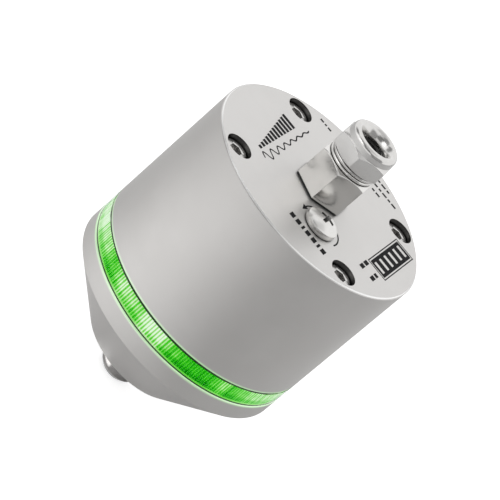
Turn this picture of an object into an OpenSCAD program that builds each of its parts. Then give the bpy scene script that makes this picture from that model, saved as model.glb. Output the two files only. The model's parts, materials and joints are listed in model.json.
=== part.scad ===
// Round vibration sensor: a steel hood stands on a cone foot with a clear light ring between them.
// The origin is the centre of the mounting face. +Z runs up the axis to the cable gland.

/* [Housing] */
// Outside diameter of the foot, the light ring and the hood
body_d = 50; // [46:1:60]
// Height from the mounting face to the cover face
body_h = 52; // [48:1:70]
// Thickness of the hood's roof
hood_roof = 5; // [4.4:0.2:7]
// Chamfer round the cover face
rim_chamfer = 0.35; // [0.1:0.05:1]
// Broken edge on the other turned corners
edge_break = 0.15; // [0.05:0.05:0.4]

/* [Foot] */
// Diameter of the mounting face
foot_face_d = 25; // [20:0.5:32]
// Height of the cone above the mounting face
foot_cone_h = 12.4; // [11:0.2:16]
// Height of the plain rim above the cone
foot_rim_h = 4; // [3.5:0.1:6]
// Steel left under the sensor well
well_floor = 9; // [8.5:0.1:11]
// Diameter of the raised seat under the sensing stack
seat_d = 12; // [11:0.5:16]
// Height of the raised seat above the well floor
seat_h = 2.5; // [2:0.1:4]

/* [Mounting stud] */
// Diameter of the stud
stud_d = 8; // [6:0.5:10]
// Length of the stud outside the foot
stud_out = 7.5; // [6:0.5:16]
// Length of the stud inside the foot
stud_in = 6; // [5:0.1:6.4]
// Chamfer on both ends of the stud
stud_chamfer = 1; // [0.4:0.1:1.4]
// Length of the relief neck at the mounting face
stud_neck_h = 0.8; // [0.4:0.1:1.5]
// Depth of the relief neck below the stud's surface
stud_neck_depth = 0.6; // [0.3:0.1:0.9]
// Width across the flats of the key socket in the stud's end
stud_key = 4; // [2.5:0.5:4]
// Depth of the key socket
stud_key_depth = 4; // [2:0.5:5]

/* [Light ring] */
// Height of the clear ring
ring_h = 3.85; // [3.4:0.05:6]
// Thickness of the gaskets above and below the ring
gasket_t = 0.25; // [0.15:0.05:0.5]
// How far the gaskets stop short of the outside
gasket_recess = 0.15; // [0.05:0.05:0.4]
// Height of the centring lips on the foot and the hood
lip_h = 1.2; // [0.8:0.05:1.4]
// Radial thickness of the centring lips
lip_t = 1.1; // [0.8:0.05:1.4]
// Number of light flutes round the ring's bore
flute_count = 240; // [120:12:300]
// Depth of the light flutes
flute_depth = 0.3; // [0.15:0.05:0.4]

/* [Cover screws] */
// Number of cover screws
screw_count = 4; // [3:1:6]
// Distance from a screw's axis to the outside of the housing
screw_edge = 3.8; // [3.4:0.1:4.6]
// Steel between the screw holes and the inside of the hood
screw_land = 2; // [1.8:0.1:3]
// Thread diameter
screw_d = 3; // [2.5:0.1:3.2]
// Clearance hole through the hood and the ring
screw_hole_d = 3.4; // [3.3:0.1:4]
// Diameter of the screw heads
screw_head_d = 5.5; // [5:0.1:5.7]
// Height of the screw heads
screw_head_h = 3; // [2.4:0.1:3.2]
// Depth of the heads below the cover face
screw_sink = 1; // [0.4:0.1:1.2]
// Diameter of the counterbores
counterbore_d = 5.8; // [5.8:0.1:6.4]
// Width across the flats of the key sockets
screw_key = 2.5; // [2:0.1:3]
// Depth of the key sockets
screw_key_depth = 1.5; // [1:0.1:2]
// Rounded edge of the screw heads, as a chamfer
head_edge = 0.25; // [0.1:0.05:0.5]
// Chamfer on the screw tips
tip_chamfer = 0.35; // [0.1:0.05:0.5]
// Length of thread held in the foot
screw_grip = 3.4; // [2.5:0.1:3.6]
// Empty depth below the screw tips
screw_runout = 0.8; // [0.4:0.1:1]

/* [Cable gland] */
// Width across the flats of the gland's body and cap nut
gland_af = 11; // [11:0.1:13]
// Turn of the gland's body, from a corner facing -Y
gland_turn = 3; // [-30:1:30]
// Turn of the cap nut, from a corner facing -Y
nut_turn = 5; // [-30:1:30]
// Diameter of the thread in the hood's roof
gland_thread_d = 8; // [7:0.1:8.6]
// Thickness of the gasket under the gland
gland_gasket_t = 0.6; // [0.4:0.05:1]
// How far the gasket stops short of the flats
gland_gasket_inset = 0.1; // [0:0.05:0.3]
// Height of the hexagon on the gland's body
gland_hex_h = 7.45; // [6:0.05:10]
// Diameter of the collar on top of the hexagon
gland_collar_d = 10.2; // [9.4:0.1:10.6]
// Height of the collar
gland_collar_h = 0.8; // [0.5:0.1:1.5]
// Diameter of the thread under the cap nut
cap_thread_d = 8.7; // [8.4:0.1:9.2]
// Length of the thread under the cap nut
cap_thread_h = 3.75; // [3.4:0.05:5]
// Diameter of the skirt under the cap nut's hexagon
nut_skirt_d = 10.6; // [10:0.1:10.8]
// Height of the skirt
nut_skirt_h = 0.85; // [0.5:0.05:1.5]
// Height from the skirt to the top of the hexagon, chamfers included
nut_hex_h = 3.7; // [3:0.05:5]
// Diameter of the cap nut's round head
dome_d = 10.8; // [10.4:0.1:10.9]
// Height of the round head
dome_h = 1.95; // [1.6:0.05:3]
// Radius on the outside of the round head's lip
lip_out_r = 1.1; // [0.6:0.05:1.3]
// Radius on the inside of the round head's lip
lip_in_r = 1.2; // [0.6:0.05:1.3]
// Diameter of the cap nut's mouth
mouth_d = 5.8; // [5.4:0.1:6.2]
// Diameter of the bore through the gland's body
gland_bore_d = 5.4; // [5.2:0.1:5.6]
// Diameter of the cable hole in the seal
cable_d = 4.4; // [3:0.1:4.6]
// Outside diameter of the seal
seal_d = 7.1; // [6.6:0.1:7.4]
// Height of the seal
seal_h = 3.5; // [3:0.1:4.5]
// How far the seal stands above the gland's body
seal_stand = 0.3; // [0.1:0.1:0.6]
// Thickness of the pressure washer on the seal
washer_t = 0.5; // [0.3:0.05:0.8]

/* [Access screw] */
// Distance of the access screw from the middle, to the right
access_x = 5.4; // [4:0.1:7]
// Distance of the access screw from the middle, to the front
access_front = 10.7; // [10.2:0.1:11.5]
// Diameter of the head
access_head_d = 7; // [6:0.1:7.6]
// Height of the straight edge of the head
access_edge_h = 0.95; // [0.6:0.05:1.4]
// Height of the crown above the straight edge
access_crown_h = 1.25; // [0.6:0.05:1.6]
// Thread diameter
access_thread_d = 4; // [3:0.1:5]
// Length below the head
access_len = 6; // [5.6:0.1:8]
// Thickness of the seal under the head
access_seal_t = 0.35; // [0.2:0.05:0.6]
// How far that seal stops short of the head's edge
access_seal_inset = 0.2; // [0.1:0.05:0.5]
// Length of each bar of the cross recess
cross_len = 3.6; // [2.6:0.1:4.4]
// Width of each bar of the cross recess
cross_w = 0.9; // [0.6:0.05:1.2]
// Depth of the cross recess
cross_depth = 1.3; // [0.8:0.1:1.6]

/* [Sensing stack] */
// Outside diameter of the piezo rings
piezo_d = 10; // [8:0.1:11]
// Bore of the piezo rings and the electrode
piezo_bore_d = 5.6; // [5.2:0.1:6]
// Thickness of one piezo ring
piezo_t = 1; // [0.6:0.05:1.4]
// Thickness of the electrode between the rings
electrode_t = 0.2; // [0.15:0.05:0.4]
// Width of the electrode's tab
tab_w = 1.2; // [0.8:0.1:2]
// Distance of the electrode's pin from the axis
pin_reach = 8.4; // [8:0.1:9]
// Side of the electrode's square pin
pin_w = 0.6; // [0.4:0.05:0.7]
// Diameter of the seismic mass
mass_d = 11; // [9:0.1:12.4]
// Height of the seismic mass
mass_h = 4; // [3:0.1:6]
// Clearance hole through the seismic mass
mass_bore_d = 3.2; // [3.15:0.05:4]
// Thread diameter of the preload screw
preload_d = 3; // [2.5:0.1:3]
// Thread length of the preload screw in the seat
preload_grip = 3.4; // [2.6:0.1:3.6]

/* [Boards] */
// Gap between the boards and the housing
board_gap = 0.2; // [0.1:0.05:0.5]
// Thickness of the light board
led_board_t = 1; // [0.8:0.1:1.2]
// Diameter of the opening in the middle of the light board
led_board_bore_d = 14; // [13:0.5:15]
// Thickness of the main board
main_board_t = 1.6; // [1:0.1:2]
// Height of the spacers between the boards
spacer_h = 13; // [11:0.5:15]
// Width across the flats of the spacers
spacer_af = 5; // [4:0.25:5.5]
// Distance of the spacers from the wall of the housing
spacer_inset = 5; // [4.8:0.1:5.6]
// Thread diameter of the spacers and their screws
spacer_thread_d = 2.5; // [2:0.1:3]
// Length of the spacers' threads
spacer_grip = 3; // [2:0.1:3.4]
// Depth of the tapped holes in the spacers
spacer_tap_depth = 5; // [3.6:0.1:6]
// Diameter of the board screws' heads
board_head_d = 4.5; // [3.8:0.1:5]
// Height of the board screws' heads
board_head_h = 1.6; // [1.2:0.1:2.2]
// Width across the flats of the board screws' key sockets
board_key = 2; // [1.5:0.1:2.5]
// Depth of the board screws' key sockets
board_key_depth = 0.8; // [0.5:0.1:1]

/* [Lights] */
// Number of lights round the ring
led_count = 8; // [4:4:16]
// Width of one light
led_w = 2; // [1.2:0.1:3]
// Depth of one light
led_depth = 1.3; // [0.8:0.1:1.6]
// Height of one light
led_h = 1.5; // [1:0.1:1.8]
// Distance of the lights from the board's edge
led_inset = 0.3; // [0.1:0.05:0.6]
// Depth of a light's lens
lens_depth = 0.45; // [0.3:0.05:0.6]
// How far a lens stops short of its light's edges
lens_inset = 0.3; // [0.15:0.05:0.4]

/* [Components] */
// Number of wire terminals
term_count = 4; // [3:1:5]
// Spacing of the terminals
term_pitch = 3.5; // [2.5:0.1:3.8]
// Depth of the terminal block
term_depth = 7; // [5.5:0.1:8]
// Height of the terminal block
term_h = 8.5; // [7:0.1:10]
// Width of the slope along the terminal block's front
term_slope = 1.4; // [0.8:0.1:1.8]
// Side of the wire openings
wire_w = 2.3; // [1.6:0.1:2.3]
// Depth of the wire openings
wire_depth = 4.2; // [3:0.1:5]
// Height of the wire openings above the board
wire_z = 1; // [0.6:0.1:1.2]
// Diameter of the terminal screws
term_screw_d = 2.6; // [2:0.1:2.8]
// Height of the terminal screws
term_screw_h = 3; // [2:0.1:4]
// Depth of the wells that hold the terminal screws
term_well_depth = 4.6; // [4:0.1:4.8]
// Width of the slots in the terminal screws
term_slot_w = 0.5; // [0.3:0.05:0.8]
// Width of the relay
relay_w = 5.4; // [4:0.1:6]
// Length of the relay
relay_len = 8.8; // [6:0.1:10]
// Height of the relay
relay_h = 3.6; // [2:0.1:5]
// Side of the controller chip
chip_w = 6; // [4:0.1:7]
// Height of the controller chip
chip_h = 1.2; // [0.8:0.1:2]
// Number of leads on each side of the controller chip
chip_leads = 8; // [4:1:10]
// Number of leads on each side of the relay
relay_leads = 3; // [2:1:4]
// Reach of the leads outside their package
lead_reach = 0.4; // [0.3:0.05:0.5]
// Thickness of the leads
lead_t = 0.15; // [0.1:0.05:0.3]
// Width of the leads
lead_w = 0.3; // [0.2:0.05:0.4]
// Diameter of the capacitors
cap_d = 5; // [4:0.1:5.4]
// Height of the capacitors
cap_h = 6; // [4:0.1:8]
// Depth of the rolled groove round a capacitor
cap_groove = 0.2; // [0.1:0.05:0.4]
// Height of that groove above the board
cap_groove_z = 0.75; // [0.4:0.05:1.5]
// Number of pins between the boards
pin_count = 4; // [2:1:4]
// Spacing of those pins
pin_pitch = 2.54; // [2:0.01:2.54]
// Side of those square pins
post_w = 0.64; // [0.5:0.02:0.7]
// Diameter of the holes for those pins
post_hole_d = 1.3; // [1.2:0.05:1.5]
// Height and depth of the block that holds those pins
header_h = 2.5; // [2:0.1:3]
// Height of the collar on each pin inside the block
post_collar_h = 1.2; // [0.6:0.1:1.6]
// How far pins stand out past the boards
post_stand = 0.8; // [0.4:0.1:1.2]

/* [Set button] */
// Side of the switch body
switch_w = 6; // [5:0.1:6.4]
// Height of the switch body
switch_h = 3.4; // [2.8:0.1:4]
// Diameter of the button
button_d = 3.5; // [3:0.1:3.8]
// Diameter of the button's flange inside the switch
flange_d = 4.6; // [4.2:0.1:4.9]
// Thickness of the button's flange
flange_t = 0.6; // [0.4:0.1:0.9]
// Travel of the button
button_travel = 0.25; // [0.15:0.05:0.5]
// Thickness of the switch's top plate
switch_plate_t = 0.6; // [0.4:0.1:0.9]
// Room between the button and the access screw
button_room = 0.6; // [0.3:0.1:0.9]

/* [Clearances] */
// Radial clearance of the centring lips
fit_gap = 0.05; // [0.03:0.01:0.1]
// Radial clearance between a screw and its tapped hole
thread_gap = 0.05; // [0.03:0.01:0.1]
// Gap between the cap nut and the gland's collar
nut_gap = 0.05; // [0.03:0.01:0.2]
// Room left between neighbouring components
part_gap = 0.7; // [0.4:0.05:0.9]

/* [Hidden] */
$fn = 96;
cut = 1;

// Levels up the axis
body_r = body_d / 2;
foot_h = foot_cone_h + foot_rim_h;
ring_z = foot_h + gasket_t;
upper_gasket_z = ring_z + ring_h;
hood_z = upper_gasket_z + gasket_t;
ceiling_z = body_h - hood_roof;
seat_z = well_floor + seat_h;

// Radii of the housing, worked inwards from the cover screws
screw_r = body_r - screw_edge;
cavity_r = screw_r - screw_hole_d / 2 - screw_land;
ring_bore_r = cavity_r + lip_t;
lip_r = ring_bore_r - fit_gap;
gasket_r = body_r - gasket_recess;

// Cover screws
screw_seat_z = body_h - screw_sink - screw_head_h;
screw_tip_z = foot_h - screw_grip;
screw_turn = 180 / screw_count;

// Gland, with the levels above the cover face
chamfer_slope = tan(30);
gland_corner_r = gland_af / sqrt(3);
hex_clear_r = gland_corner_r + edge_break;
gland_hex_z = body_h + gland_gasket_t;
gland_collar_z = gland_hex_z + gland_hex_h;
cap_thread_z = gland_collar_z + gland_collar_h;
gland_top_z = cap_thread_z + cap_thread_h;
seal_top_z = gland_top_z + seal_stand;
seal_z = seal_top_z - seal_h;
nut_z = cap_thread_z + nut_gap;
nut_hex_z = nut_z + nut_skirt_h;
dome_z = nut_hex_z + nut_hex_h;
nut_top_z = dome_z + dome_h;
nut_ceiling_z = seal_top_z + washer_t + nut_gap;

// Access screw
access_head_z = body_h + access_seal_t;
access_tip_z = access_head_z - access_len;
access_r = access_head_d / 2;
crown_ball_r = (pow(access_r, 2) + pow(access_crown_h, 2)) / (2 * access_crown_h);
crown_top_z = access_edge_h + access_crown_h;
crown_angle = asin(access_r / crown_ball_r);

// Sensing stack
electrode_z = seat_z + piezo_t;
upper_piezo_z = electrode_z + electrode_t;
mass_z = upper_piezo_z + piezo_t;
mass_top_z = mass_z + mass_h;

// Boards
board_r = cavity_r - board_gap;
led_top_z = ring_z + ring_h / 2 - led_h / 2;
led_board_z = led_top_z - led_board_t;
main_board_z = led_top_z + spacer_h;
main_top_z = main_board_z + main_board_t;
spacer_r = cavity_r - spacer_inset;
spacer_count = 3;
spacer_turn = 90;
front_spacer_y = spacer_r * sin(spacer_turn + 360 / spacer_count);
tapped_r = spacer_thread_d / 2 + thread_gap;

// Components
led_r = board_r - led_inset - led_depth / 2;
term_w = term_count * term_pitch;
term_back = spacer_r - board_head_d / 2 - part_gap;
term_screw_back = (term_depth - term_slope) / 2;
front_screw_y = front_spacer_y + board_head_d / 2 + part_gap;
relay_x = -term_w / 2 - part_gap - relay_w / 2;
relay_y = front_screw_y + relay_len / 2;
cap_x = term_w / 2 + part_gap + cap_d / 2;
cap_y = front_screw_y + cap_d / 2;
chip_x = access_x - switch_w / 2 - part_gap - lead_reach - chip_w / 2;
chip_y = term_back - term_depth - part_gap - lead_reach - chip_w / 2;
header_w = pin_count * pin_pitch;
header_x = access_x - switch_w / 2 - part_gap - header_w / 2;
header_room_r = led_r - led_depth / 2 - part_gap;
header_y = header_h / 2 - sqrt(pow(header_room_r, 2) - pow(abs(header_x) + header_w / 2, 2));
switch_bore_r = button_d / 2 + fit_gap;
flange_room_r = flange_d / 2 + fit_gap;
switch_top_z = main_top_z + switch_h;
flange_z = switch_top_z - switch_plate_t - fit_gap - flange_t;
button_top_z = access_tip_z - button_room;

steel = [0.74, 0.73, 0.71];
plated = [0.80, 0.80, 0.78];
black = [0.06, 0.06, 0.06];
board_green = [0.08, 0.33, 0.18];
gold = [0.83, 0.66, 0.30];

// Points along an arc of a revolved outline
function arc_points(x, z, r, from, to, steps = 8) =
    [for (i = [0:steps]) let (a = from + (to - from) * i / steps) [x + r * cos(a), z + r * sin(a)]];

module tube(r_out, r_in, h) {
    difference() {
        cylinder(r = r_out, h = h);
        translate([0, 0, -cut]) cylinder(r = r_in, h = h + 2 * cut);
    }
}

// A hexagon with its first corner facing -Y, turned about the axis
module hex_prism(af, h, turn = 0) {
    rotate(turn - 90) cylinder(r = af / sqrt(3), h = h, $fn = 6);
}

module at_cover_screws() {
    for (i = [0:screw_count - 1])
        rotate(screw_turn + i * 360 / screw_count) translate([screw_r, 0, 0]) children();
}

module at_spacers() {
    for (i = [0:spacer_count - 1])
        rotate(spacer_turn + i * 360 / spacer_count) translate([spacer_r, 0, 0]) children();
}

module at_header_pins() {
    for (i = [0:pin_count - 1])
        translate([header_x + (i - (pin_count - 1) / 2) * pin_pitch, header_y, 0]) children();
}

module at_terminals() {
    for (i = [0:term_count - 1]) translate([(i - (term_count - 1) / 2) * term_pitch, 0, 0]) children();
}

// Cap screw with its head resting on z = 0 and its shank below
module cap_screw(d, len, head_d, head_h, key, key_depth) {
    r = d / 2;
    head_r = head_d / 2;
    difference() {
        rotate_extrude() polygon([[0, -len], [r - tip_chamfer, -len], [r, tip_chamfer - len], [r, 0],
            [head_r, 0], [head_r, head_h - head_edge], [head_r - head_edge, head_h], [0, head_h]]);
        translate([0, 0, head_h - key_depth]) hex_prism(key, key_depth + cut);
    }
}

// Turned foot: mounting face, cone, rim, centring lip, sensor well and its raised seat
module foot() {
    stud_hole_r = stud_d / 2 + thread_gap;
    preload_hole_depth = preload_grip + screw_runout;
    color(steel) difference() {
        rotate_extrude() polygon([[0, 0], [foot_face_d / 2, 0], [body_r, foot_cone_h],
            [body_r, foot_h - edge_break], [body_r - edge_break, foot_h], [lip_r, foot_h],
            [lip_r, foot_h + lip_h], [cavity_r, foot_h + lip_h], [cavity_r, well_floor],
            [seat_d / 2, well_floor], [seat_d / 2, seat_z], [0, seat_z]]);
        translate([0, 0, -cut]) cylinder(r = stud_hole_r, h = stud_in + thread_gap + cut);
        translate([0, 0, seat_z - preload_hole_depth])
            cylinder(r = preload_d / 2 + thread_gap, h = preload_hole_depth + cut);
        at_cover_screws() translate([0, 0, screw_tip_z - screw_runout])
            cylinder(r = screw_d / 2 + thread_gap, h = screw_grip + screw_runout + cut);
        at_spacers() translate([0, 0, well_floor - spacer_grip - thread_gap])
            cylinder(r = tapped_r, h = spacer_grip + thread_gap + cut);
    }
}

module mounting_stud() {
    r = stud_d / 2;
    neck_r = r - stud_neck_depth;
    tip_r = r - stud_chamfer;
    color(plated) difference() {
        rotate_extrude() polygon([[0, -stud_out], [tip_r, -stud_out], [r, stud_chamfer - stud_out], [r, 0],
            [neck_r, 0], [neck_r, stud_neck_h], [r, stud_neck_h], [r, stud_in - stud_chamfer],
            [tip_r, stud_in], [0, stud_in]]);
        translate([0, 0, -stud_out - cut]) hex_prism(stud_key, stud_key_depth + cut);
    }
}

module flat_gasket() {
    difference() {
        tube(gasket_r, ring_bore_r, gasket_t);
        at_cover_screws() translate([0, 0, -cut]) cylinder(d = screw_hole_d, h = gasket_t + 2 * cut);
    }
}

module lower_gasket() {
    color(black) translate([0, 0, foot_h]) flat_gasket();
}

module upper_gasket() {
    color(black) translate([0, 0, upper_gasket_z]) flat_gasket();
}

// Clear ring: plain outside, and a bore of fine flutes that spread the light
module light_ring() {
    flutes = [for (i = [0:2 * flute_count - 1])
        (ring_bore_r + (i % 2) * flute_depth) * [cos(i * 180 / flute_count), sin(i * 180 / flute_count)]];
    color([0.45, 0.95, 0.40, 0.8]) translate([0, 0, ring_z]) difference() {
        rotate_extrude() polygon([[0, 0], [body_r - edge_break, 0], [body_r, edge_break],
            [body_r, ring_h - edge_break], [body_r - edge_break, ring_h], [0, ring_h]]);
        translate([0, 0, -cut]) linear_extrude(ring_h + 2 * cut) polygon(flutes);
        at_cover_screws() translate([0, 0, -cut]) cylinder(d = screw_hole_d, h = ring_h + 2 * cut);
    }
}

// Turned hood: thick wall with the screw bores, roof, and a centring lip below
module hood() {
    color(steel) difference() {
        rotate_extrude() polygon([[cavity_r, hood_z - lip_h], [lip_r, hood_z - lip_h], [lip_r, hood_z],
            [body_r - edge_break, hood_z], [body_r, hood_z + edge_break], [body_r, body_h - rim_chamfer],
            [body_r - rim_chamfer, body_h], [0, body_h], [0, ceiling_z], [cavity_r, ceiling_z]]);
        at_cover_screws() {
            translate([0, 0, hood_z - cut]) cylinder(d = screw_hole_d, h = body_h - hood_z);
            translate([0, 0, screw_seat_z]) cylinder(d = counterbore_d, h = body_h - screw_seat_z + cut);
        }
        translate([0, 0, ceiling_z - cut])
            cylinder(r = gland_thread_d / 2 + thread_gap, h = hood_roof + 2 * cut);
        translate([access_x, -access_front, ceiling_z - cut])
            cylinder(r = access_thread_d / 2 + thread_gap, h = hood_roof + 2 * cut);
    }
}

module cover_screws() {
    len = screw_seat_z - screw_tip_z;
    color(plated) at_cover_screws() translate([0, 0, screw_seat_z])
        cap_screw(screw_d, len, screw_head_d, screw_head_h, screw_key, screw_key_depth);
}

module gland_gasket() {
    color(black) translate([0, 0, body_h]) difference() {
        hex_prism(gland_af - 2 * gland_gasket_inset, gland_gasket_t, gland_turn);
        translate([0, 0, -cut]) cylinder(r = gland_thread_d / 2 + thread_gap, h = gland_gasket_t + 2 * cut);
    }
}

// Gland body: roof thread, chamfered hexagon, collar and cap thread, bored for the cable and its seal
module gland_body() {
    len = gland_top_z - ceiling_z;
    thread_r = gland_thread_d / 2;
    cap_thread_r = cap_thread_d / 2;
    collar_r = gland_collar_d / 2;
    hex_chamfer = (hex_clear_r - collar_r) * chamfer_slope;
    color(plated) difference() {
        intersection() {
            rotate_extrude() polygon([[0, ceiling_z], [thread_r, ceiling_z], [thread_r, gland_hex_z],
                [gland_corner_r - edge_break, gland_hex_z], [hex_clear_r, gland_hex_z + 2 * edge_break],
                [hex_clear_r, gland_collar_z - hex_chamfer], [collar_r, gland_collar_z],
                [collar_r, cap_thread_z], [cap_thread_r, cap_thread_z],
                [cap_thread_r, gland_top_z - edge_break], [cap_thread_r - edge_break, gland_top_z],
                [0, gland_top_z]]);
            translate([0, 0, ceiling_z - cut]) hex_prism(gland_af, len + 2 * cut, gland_turn);
        }
        translate([0, 0, ceiling_z - cut]) cylinder(d = gland_bore_d, h = len + 2 * cut);
        translate([0, 0, seal_z]) cylinder(r = seal_d / 2 + fit_gap, h = seal_h);
    }
}

module gland_seal() {
    color(black) translate([0, 0, seal_z]) tube(seal_d / 2, cable_d / 2, seal_h);
}

module gland_washer() {
    color(plated) translate([0, 0, seal_top_z])
        tube(cap_thread_d / 2 - edge_break, gland_bore_d / 2, washer_t);
}

// Cap nut: skirt, chamfered hexagon and a round head whose lip rolls into the mouth
module gland_nut() {
    skirt_r = nut_skirt_d / 2;
    dome_r = dome_d / 2;
    mouth_r = mouth_d / 2;
    lip_r = mouth_r + lip_in_r;
    thread_r = cap_thread_d / 2 + thread_gap;
    skirt_chamfer = (hex_clear_r - skirt_r) * chamfer_slope;
    dome_chamfer = (hex_clear_r - dome_r) * chamfer_slope;
    color(plated) difference() {
        intersection() {
            rotate_extrude() polygon(concat([[0, nut_z], [skirt_r, nut_z], [skirt_r, nut_hex_z],
                [hex_clear_r, nut_hex_z + skirt_chamfer], [hex_clear_r, dome_z - dome_chamfer],
                [dome_r, dome_z]], arc_points(dome_r - lip_out_r, nut_top_z - lip_out_r, lip_out_r, 0, 90),
                [[0, nut_top_z]]));
            translate([0, 0, nut_z - cut]) hex_prism(gland_af, nut_top_z - nut_z + 2 * cut, nut_turn);
        }
        rotate_extrude() polygon(concat([[0, nut_z - cut], [thread_r, nut_z - cut],
            [thread_r, nut_ceiling_z], [mouth_r, nut_ceiling_z]],
            arc_points(lip_r, nut_top_z - lip_in_r, lip_in_r, 180, 90),
            [[lip_r, nut_top_z + cut], [0, nut_top_z + cut]]));
    }
}

// Crowned head with a cross recess over a thread that closes the access hole
module access_screw() {
    thread_r = access_thread_d / 2;
    color(plated) translate([access_x, -access_front, access_head_z]) difference() {
        rotate_extrude() polygon(concat([[0, -access_len], [thread_r - edge_break, -access_len],
            [thread_r, edge_break - access_len], [thread_r, 0], [access_r, 0]],
            arc_points(0, crown_top_z - crown_ball_r, crown_ball_r, 90 - crown_angle, 90)));
        for (turn = [0, 90]) rotate(turn) translate([-cross_len / 2, -cross_w / 2, crown_top_z - cross_depth])
            cube([cross_len, cross_w, cross_depth + cut]);
    }
}

module access_seal() {
    color(black) translate([access_x, -access_front, body_h])
        tube(access_r - access_seal_inset, access_thread_d / 2 + thread_gap, access_seal_t);
}

module piezo_rings() {
    color([0.88, 0.84, 0.72]) for (z = [seat_z, upper_piezo_z])
        translate([0, 0, z]) tube(piezo_d / 2, piezo_bore_d / 2, piezo_t);
}

// Contact disc with a tab and a pin up to the light board
module signal_electrode() {
    pin_top_z = led_top_z + post_stand;
    color(gold) {
        translate([0, 0, electrode_z]) difference() {
            union() {
                cylinder(d = piezo_d, h = electrode_t);
                translate([0, -tab_w / 2, 0]) cube([pin_reach + pin_w / 2, tab_w, electrode_t]);
            }
            translate([0, 0, -cut]) cylinder(d = piezo_bore_d, h = electrode_t + 2 * cut);
        }
        translate([pin_reach - pin_w / 2, -pin_w / 2, electrode_z])
            cube([pin_w, pin_w, pin_top_z - electrode_z]);
    }
}

module seismic_mass() {
    r = mass_d / 2;
    bore_r = mass_bore_d / 2;
    color([0.42, 0.42, 0.44]) translate([0, 0, mass_z]) rotate_extrude()
        polygon([[bore_r, 0], [r - edge_break, 0], [r, edge_break], [r, mass_h - edge_break],
            [r - edge_break, mass_h], [bore_r, mass_h]]);
}

module preload_screw() {
    len = mass_top_z - seat_z + preload_grip;
    color(plated) translate([0, 0, mass_top_z])
        cap_screw(preload_d, len, screw_head_d, screw_head_h, screw_key, screw_key_depth);
}

// Hexagon spacer with a thread below and a tapped hole above
module spacer(h, stud_len) {
    difference() {
        union() {
            hex_prism(spacer_af, h);
            translate([0, 0, -stud_len]) cylinder(d = spacer_thread_d, h = stud_len + cut);
        }
        translate([0, 0, h - spacer_tap_depth]) cylinder(r = tapped_r, h = spacer_tap_depth + cut);
    }
}

module lower_spacers() {
    color(gold) at_spacers() translate([0, 0, well_floor]) spacer(led_board_z - well_floor, spacer_grip);
}

module upper_spacers() {
    color(gold) at_spacers() translate([0, 0, led_top_z]) spacer(spacer_h, led_board_t + spacer_grip);
}

module board_blank(t) {
    difference() {
        cylinder(r = board_r, h = t);
        at_spacers() translate([0, 0, -cut]) cylinder(r = tapped_r, h = t + 2 * cut);
        at_header_pins() translate([0, 0, -cut]) cylinder(d = post_hole_d, h = t + 2 * cut);
    }
}

module led_board() {
    color(board_green) translate([0, 0, led_board_z]) difference() {
        board_blank(led_board_t);
        translate([0, 0, -cut]) cylinder(d = led_board_bore_d, h = led_board_t + 2 * cut);
        translate([pin_reach, 0, -cut]) cylinder(d = post_hole_d, h = led_board_t + 2 * cut);
    }
}

// Side lights on the light board, each with a lens that faces the ring
module ring_lights() {
    package_depth = led_depth - lens_depth;
    lens_w = led_w - 2 * lens_inset;
    lens_h = led_h - 2 * lens_inset;
    color([0.85, 0.95, 0.80]) for (i = [0:led_count - 1])
        rotate(i * 360 / led_count) translate([led_r - led_depth / 2, 0, led_top_z]) {
            translate([0, -led_w / 2, 0]) cube([package_depth, led_w, led_h]);
            translate([0, -lens_w / 2, lens_inset]) cube([led_depth, lens_w, lens_h]);
        }
}

module main_board() {
    color(board_green) translate([0, 0, main_board_z]) board_blank(main_board_t);
}

module board_screws() {
    len = main_board_t + spacer_grip;
    color(plated) at_spacers() translate([0, 0, main_top_z])
        cap_screw(spacer_thread_d, len, board_head_d, board_head_h, board_key, board_key_depth);
}

module header_block() {
    color(black) difference() {
        translate([header_x - header_w / 2, header_y - header_h / 2, led_top_z])
            cube([header_w, header_h, header_h]);
        at_header_pins() translate([0, 0, led_top_z - cut]) cylinder(d = post_hole_d, h = header_h + 2 * cut);
    }
}

// Square pins with a collar on each that seats in the block
module header_pins() {
    pin_z = led_board_z - post_stand;
    pin_top_z = main_top_z + post_stand;
    collar_z = led_top_z + (header_h - post_collar_h) / 2;
    color(gold) at_header_pins() {
        translate([-post_w / 2, -post_w / 2, pin_z]) cube([post_w, post_w, pin_top_z - pin_z]);
        translate([0, 0, collar_z]) cylinder(r = post_hole_d / 2 - fit_gap, h = post_collar_h);
    }
}

// Terminal block with a wire opening facing the gland and a screw well for each terminal
module terminal_block() {
    well_r = term_screw_d / 2 + fit_gap;
    color([0.10, 0.42, 0.20]) translate([0, term_back, main_top_z]) difference() {
        rotate([90, 0, 90]) translate([0, 0, -term_w / 2]) linear_extrude(term_w)
            polygon([[-term_depth, 0], [0, 0], [0, term_h], [term_slope - term_depth, term_h],
                [-term_depth, term_h - 2 * term_slope]]);
        at_terminals() {
            translate([-wire_w / 2, -term_depth - cut, wire_z]) cube([wire_w, wire_depth + cut, wire_w]);
            translate([0, -term_screw_back, term_h - term_well_depth])
                cylinder(r = well_r, h = term_well_depth + cut);
        }
    }
}

module terminal_screws() {
    well_z = main_top_z + term_h - term_well_depth;
    color(plated) translate([0, term_back - term_screw_back, well_z]) at_terminals() difference() {
        cylinder(d = term_screw_d, h = term_screw_h);
        translate([-term_screw_d, -term_slot_w / 2, term_screw_h - term_slot_w])
            cube([2 * term_screw_d, term_slot_w, term_slot_w + cut]);
    }
}

// Row of flat leads along one side of a package
module lead_row(count, pitch) {
    for (i = [0:count - 1])
        translate([-lead_reach, (i - (count - 1) / 2) * pitch - lead_w / 2, 0])
            cube([2 * lead_reach, lead_w, 2 * lead_t]);
}

module output_relay() {
    color([0.16, 0.16, 0.17]) translate([relay_x, relay_y, main_top_z]) {
        translate([-relay_w / 2, -relay_len / 2, lead_t]) cube([relay_w, relay_len, relay_h]);
        for (side = [0, 180]) rotate(side) translate([-relay_w / 2, 0, 0])
            lead_row(relay_leads, relay_len / relay_leads);
    }
}

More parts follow.
